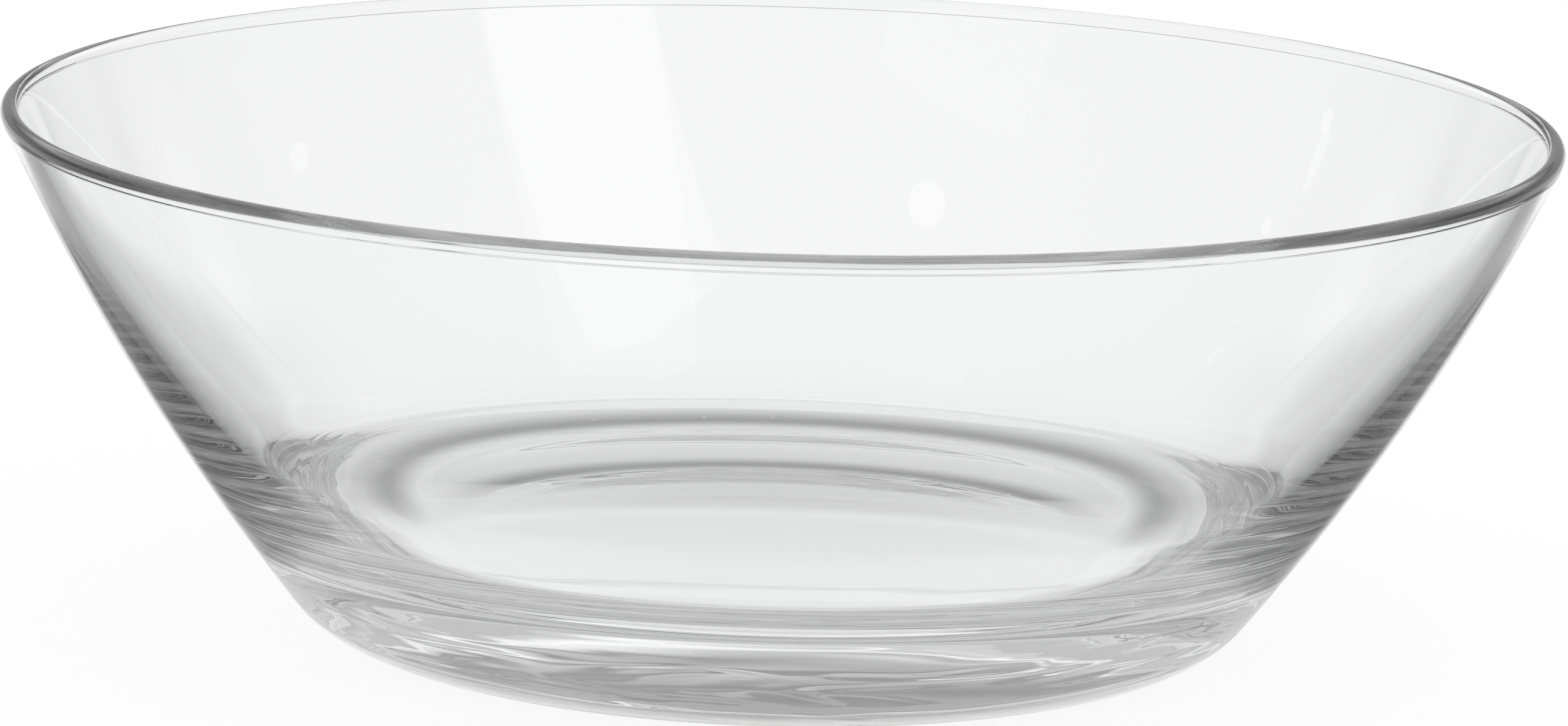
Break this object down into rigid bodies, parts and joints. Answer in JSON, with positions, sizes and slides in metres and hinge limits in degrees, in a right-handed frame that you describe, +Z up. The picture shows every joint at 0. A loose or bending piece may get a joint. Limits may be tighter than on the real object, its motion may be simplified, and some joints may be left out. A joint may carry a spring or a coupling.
{
  "type": "glass bowl",
  "caption": "Clear glass serving bowl with a straight flared wall, a rounded rim and a thick flat base.",
  "frame": {"origin": "centre of the plane the bowl stands on", "axes": "+Z up along the bowl's axis, out of its mouth; X and Y are any two level directions, as the bowl is round"},
  "size_m": [0.26, 0.26, 0.088],
  "materials": {
    "clear_glass": "clear, smooth, fire-polished"
  },
  "bodies": {
    "root": {"bowl": "clear_glass"}
  },
  "joints": []
}
